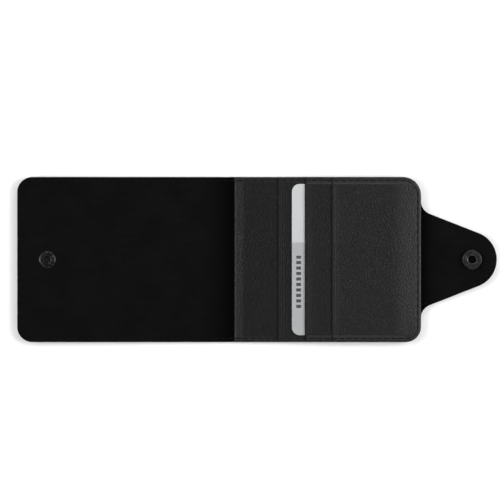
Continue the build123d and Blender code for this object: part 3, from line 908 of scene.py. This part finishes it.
panel_spots = spots(panel_seam())
tab_spots = spots(tab_seam())
free_lining_spots = panel_spots[panel_spots[:, 0] < -1.0]
outside = threads(np.concatenate([panel_spots, tab_spots]), level(0.0), -1.0, OUTSIDE_SINK)
inner = threads(np.concatenate([free_lining_spots, tab_spots]), level(SHELL), 1.0)
bending_pieces(
    "seam", *joined(outside, inner), thread, "thread",
    lambda part: [f"{part}_stitching"],
)


# ---- Pocket panel --------------------------------------------------------------------------

# Distances of a layer's grid lines from its sewn rim and from its mouth
RIM_LINES = [
    0, 0.05, 0.14, 0.28, 0.5, 0.9, 1.35, 1.6, 1.8, 2.05, 2.3, 2.5, 2.75, 3.2, 3.8, 4.5, 5.4, 6.6,
]
MOUTH_LINES = [
    0, 0.04, 0.12, 0.25, 0.42, 0.65, 1.0, 1.5, 2.0, 2.35, 2.6, 2.8, 3.0, 3.25, 3.7, 4.4, 5.5, 7.0,
]


def spaced(low, high, step):
    """Even lines between two values, both left out."""
    count = max(1, round((high - low) / step))
    return list(np.linspace(low, high, count + 1)[1:-1])


def pocket_grid(mouth_x):
    """Grid over one pocket layer: x, y, distance from the sewn rim, rows and columns."""
    left = [mouth_x + d for d in MOUTH_LINES]
    right = [PANEL_WIDTH - d for d in reversed(RIM_LINES)]
    xs = left + spaced(left[-1], right[0], 2.0) + right
    low = [-HALF + d for d in RIM_LINES]
    high = [HALF - d for d in reversed(RIM_LINES)]
    ys = low + spaced(low[-1], high[0], 2.2) + high
    x, y = [g.ravel() for g in np.meshgrid(xs, ys, indexing="ij")]
    rim = np.minimum(PANEL_WIDTH - x, HALF - np.abs(y))
    for sign, radius in ((1, TOP_CORNER), (-1, BOTTOM_CORNER)):
        p, q = x - (PANEL_WIDTH - radius), sign * y - (HALF - radius)
        corner = (p > 0) & (q > 0)
        reach = np.maximum(p, q)
        with np.errstate(divide="ignore", invalid="ignore"):
            angle = np.where(p >= q, q / p, 2 - p / q) * math.pi / 4
        x = np.where(corner, PANEL_WIDTH - radius + reach * np.cos(angle), x)
        y = np.where(corner, sign * (HALF - radius + reach * np.sin(angle)), y)
    return x, y, rim, len(xs), len(ys)


def slab(x, y, top, bottom, rows, columns):
    """Closed sheet over a grid, from its top and bottom heights."""
    count = rows * columns
    points = np.concatenate([np.stack([x, y, top], axis=1), np.stack([x, y, bottom], axis=1)])
    faces = []
    for i in range(rows - 1):
        for j in range(columns - 1):
            a = i * columns + j
            faces.append((a, a + columns, a + columns + 1, a + 1))
            faces.append((count + a, count + a + 1, count + a + columns + 1, count + a + columns))
    border = (
        [i * columns for i in range(rows)]
        + [(rows - 1) * columns + j for j in range(1, columns)]
        + [i * columns + columns - 1 for i in range(rows - 2, -1, -1)]
        + [j for j in range(columns - 2, 0, -1)]
    )
    for a, b in zip(border, border[1:] + border[:1]):
        faces.append((b, a, count + a, count + b))
    return points, faces


# Heights in the pocket layers' shapes
LAYER_GAP = 0.02
THINNEST = 0.08
RIM_ROUND = 0.9
RIM_SHARE = 0.8
RIM_GROOVE = 0.05
MOUTH_GROOVE = 0.06
LIP = 0.03
UNEVENNESS = 0.03
SPINE_DROP = 0.9
CROWN = 0.15


def rim_shape(rim):
    """Height lost at the sewn rim: its rounded edge and the seam's groove."""
    return RIM_SHARE * quarter(rim, RIM_ROUND) + RIM_GROOVE * bell((rim - SEAM_INSET) / 0.34)


def pocket(name, gloss, mouth_x, low, rise, mouth, node):
    """One pocket layer, lifted by rise(x, y).

    mouth gives its fold's radius, its lift and how far out its seam goes.
    """
    x, y, rim, rows, columns = pocket_grid(mouth_x)
    fold, lift, seam_reach = mouth
    d = x - mouth_x
    free = 1 - smooth((np.abs(y) - (HALF - 7.0)) / 4.0)
    raised = rise(x, y) + lift * bell(d / 4.5) * free
    from_seam = d - (MOUTH_INSET + MOUTH_PROUD)
    on_seam = np.abs(y) < seam_reach
    seam = MOUTH_GROOVE * bell(from_seam / 0.36) * on_seam
    lip = LIP * bell((d - 1.1) / 0.9)
    waves = np.clip(wave(x, y, WAVE_SIZE, len(name)), -1, 1)
    uneven = (UNEVENNESS * waves - UNEVENNESS) * smooth((rim - 3.5) / 3.0)
    top = low + LAYER + raised - quarter(d, fold) - rim_shape(rim) - seam + lip + uneven
    top = np.maximum(top, low + 0.1)
    has_mouth = mouth_x > 0
    recess = POCKET_LINING * smooth((rim - 1.2) / 0.8) * has_mouth
    bottom = np.minimum(low + np.maximum(raised, 0) + LAYER_GAP + recess, top - THINNEST)
    points, faces = slab(x, y, top, bottom, rows, columns)
    # Dye on the cut rim, and painted shade in the rim's seam groove, along the folded mouth and in
    # the mouth's seam row.
    dye_and_shade = 0.75 * bell((rim - SEAM_INSET) / 0.5) + 0.5 * (1 - smooth((rim - 0.1) / 0.3))
    if has_mouth:
        sewn = 0.95 * bell(from_seam / 0.5) * on_seam
        dye_and_shade = np.maximum(dye_and_shade, np.maximum(1 - smooth((d - 0.65) / 0.45), sewn))
    leather = leather_material(f"{name}_leather", gloss)
    obj = make_object(name, points, faces, leather, "grained_leather", np.tile(dye_and_shade, 2))
    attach(obj, "back")
    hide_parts(node)


def base_rise(x, y):
    """The panel's left edge rolls down towards the spine."""
    return -SPINE_DROP * np.clip(1 - x / 5.6, 0, 1) ** 1.2


def no_rise(x, y):
    """The lower pocket lies flat."""
    return 0.0 * x


def over_card(x, y):
    """Lift over the card's slot."""
    across = smooth((HALF - np.abs(y) - 2.5) / 1.4)
    return SLOT * across * smooth((PANEL_WIDTH - x - 15.5) / 2.5)


def over_pockets(x, y):
    """Crown of the top layer, easing down towards its rim."""
    across = smooth((HALF - np.abs(y) - 2.4) / 1.6)
    slope = np.clip(1 - (PANEL_WIDTH - x - 2.4) / 12.5, 0, 1)
    crown = CROWN * smooth((HALF + y - 4.0) / 9.0) * smooth((HALF - y - 2.4) / 2.0)
    return (SLOT * across + crown) * (1 - slope ** 1.35)


for name, gloss, mouth_x, low, rise, mouth, node in (
    ("base_panel", 0.31, 0.0, SHELL, base_rise, (0.5, 0.0, 0.0), "pocket_base_panel"),
    (
        "lower_pocket", 0.33, LOWER_X - MOUTH_PROUD, SHELL + LAYER, no_rise,
        (0.7, 0.0, HALF - 3.0), "lower_pocket_leather",
    ),
    (
        "middle_pocket", 0.36, MIDDLE_X - MOUTH_PROUD, CARD_RIM, over_card,
        (0.7, 0.12, HALF - 5.0), "middle_pocket_leather",
    ),
    (
        "front_pocket", 0.41, FRONT_X - MOUTH_PROUD, CARD_RIM + LAYER, over_pockets,
        (0.7, 0.15, HALF - 5.0), "front_pocket_leather",
    ),
):
    pocket(name, gloss, mouth_x, low, rise, mouth, node)


def sewn_on(name, places, surface, node, sink=ROUND_SINK):
    """A row of stitches that rides on the back."""
    obj = make_object(name, *threads(places, surface, 1.0, sink), thread, "thread")
    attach(obj, "back")
    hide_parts(node)


rim_spots = panel_spots[panel_spots[:, 0] > 1.0]
sewn_on("panel_stitching", rim_spots, pocket_surface, "pocket_panel_stitching")
for name, mouth_x, surface_z, reach in (
    ("lower", LOWER_X, CARD_RIM, HALF - 4.6),
    ("middle", MIDDLE_X, MIDDLE_TOP, HALF - 5.6),
    ("front", FRONT_X, FRONT_TOP, HALF - 5.9),
):
    seam_x = mouth_x + MOUTH_INSET
    sewn_on(
        f"{name}_mouth_stitching",
        spots(np.array([(seam_x, -reach), (seam_x, reach)])),
        level(surface_z + 0.02),
        f"{name}_pocket_stitching",
        MOUTH_SINK,
    )


LINING_LINES = 30


def lining_sheet(name, node, height, inset_y):
    """Cloth that lines the inside of one pocket."""
    low, high = node_box(node)
    x0, x1, half = low.x - PANEL_X, high.x - PANEL_X, high.y - inset_y
    xs, ys = np.linspace(x0, x1, LINING_LINES), np.linspace(-half, half, LINING_LINES)
    x, y = [g.ravel() for g in np.meshgrid(xs, ys, indexing="ij")]
    z = height(x, y)
    points, faces = slab(x, y, z + POCKET_LINING - 0.03, z, LINING_LINES, LINING_LINES)
    obj = make_object(name, points, faces, twill, "textile")
    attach(obj, "back")
    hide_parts(node)


lining_sheet(
    "lower_lining", "lower_pocket_lining", level(SHELL + LAYER + 0.012), 0.0
)
lining_sheet(
    "middle_lining", "middle_pocket_lining",
    lambda x, y: CARD_RIM + over_card(x, y) + 0.01, 0.6,
)
lining_sheet(
    "front_lining", "front_pocket_lining",
    lambda x, y: CARD_RIM + LAYER + over_pockets(x, y) + 0.01, 0.0,
)


# ---- CAD nodes that keep their shape -------------------------------------------------------


def paint(node, material):
    """Gives a CAD node a finished material."""
    mesh = frame["nodes"][node].data
    mesh.materials.clear()
    mesh.materials.append(material)


for node, material in (
    ("snap_stud", snap_left),
    ("snap_eyelet", snap_left),
    ("snap_socket", snap_right_highlit),
    ("snap_cap_post", snap_right_highlit),
    ("snap_cap", snap_black),
    ("snap_spring_ring", snap_bright),
    ("card", card_print),
):
    paint(node, material)
for node, obj in frame["nodes"].items():
    if not obj.hide_render and node != "card" and not node.startswith("snap"):
        paint(node, board)


# ---- Floor, light and camera ---------------------------------------------------------------


def floor_material():
    """Plain pale floor."""
    n = Nodes("studio_floor")
    tone = n.noise(n.object_place(), 3.0, 2.0)
    n.set(Base_Color=n.mix(tone, *FLOOR_COLOURS), Roughness=0.9, Specular_IOR_Level=0.1)
    return n.material


def add_to_scene(name, data):
    """A new object for this data."""
    obj = bpy.data.objects.new(name, data)
    bpy.context.scene.collection.objects.link(obj)
    return obj


floor_mesh = bpy.data.meshes.new("floor")
floor_mesh.from_pydata([(-1, -1, 0), (1, -1, 0), (1, 1, 0), (-1, 1, 0)], [], [(0, 1, 2, 3)])
floor_mesh.materials.append(floor_material())
floor = add_to_scene("floor", floor_mesh)
floor.location.z = -0.0001

# The world lights softly, and looks white behind the floor's edge.
AMBIENT = 0.14
world = bpy.data.worlds.new("studio")
bpy.context.scene.world = world
world.use_nodes = True
nodes, links = world.node_tree.nodes, world.node_tree.links
ambient, backdrop = nodes["Background"], nodes.new("ShaderNodeBackground")
for background, strength in ((ambient, AMBIENT), (backdrop, 1.0)):
    background.inputs["Color"].default_value = (1.0, 1.0, 1.0, 1.0)
    background.inputs["Strength"].default_value = strength
seen = nodes.new("ShaderNodeLightPath")
either = nodes.new("ShaderNodeMixShader")
links.new(seen.outputs["Is Camera Ray"], either.inputs[0])
links.new(ambient.outputs[0], either.inputs[1])
links.new(backdrop.outputs[0], either.inputs[2])
links.new(either.outputs[0], nodes["World Output"].inputs["Surface"])

# Large soft lights aimed at the holder: name, place, size, power
for name, location, size, energy in (
    ("left_softbox", (-0.95, 0.10, 0.90), (0.8, 0.8), 11.0),
    ("right_softbox", (0.95, 0.10, 0.90), (0.8, 0.8), 14.4),
    ("far_softbox", (0.0, 1.15, 0.90), (1.2, 0.7), 7.3),
    ("near_softbox", (0.0, -1.20, 0.80), (1.2, 0.7), 5.3),
):
    data = bpy.data.lights.new(name, "AREA")
    data.shape = "RECTANGLE"
    data.size, data.size_y = size
    data.energy = energy
    light = add_to_scene(name, data)
    light.location = location
    light.rotation_mode = "QUATERNION"
    light.rotation_quaternion = (-Vector(location)).to_track_quat("-Z", "Y")

# The camera looks straight down; VIEW_WIDTH is what it shows at its target's height.
CAMERA_DISTANCE = 3.0
CAMERA_TARGET = (-0.0040, 0.0054, 0.005)
VIEW_WIDTH = 0.2830
SENSOR_WIDTH = 36.0
camera_data = bpy.data.cameras.new("camera")
camera_data.sensor_width = SENSOR_WIDTH
camera_data.lens = SENSOR_WIDTH * CAMERA_DISTANCE / VIEW_WIDTH
camera_data.clip_start, camera_data.clip_end = 0.05, 20.0
camera = add_to_scene("camera", camera_data)
camera.location = (CAMERA_TARGET[0], CAMERA_TARGET[1], CAMERA_DISTANCE + CAMERA_TARGET[2])
bpy.context.scene.camera = camera
bpy.context.scene.view_settings.view_transform = "Standard"
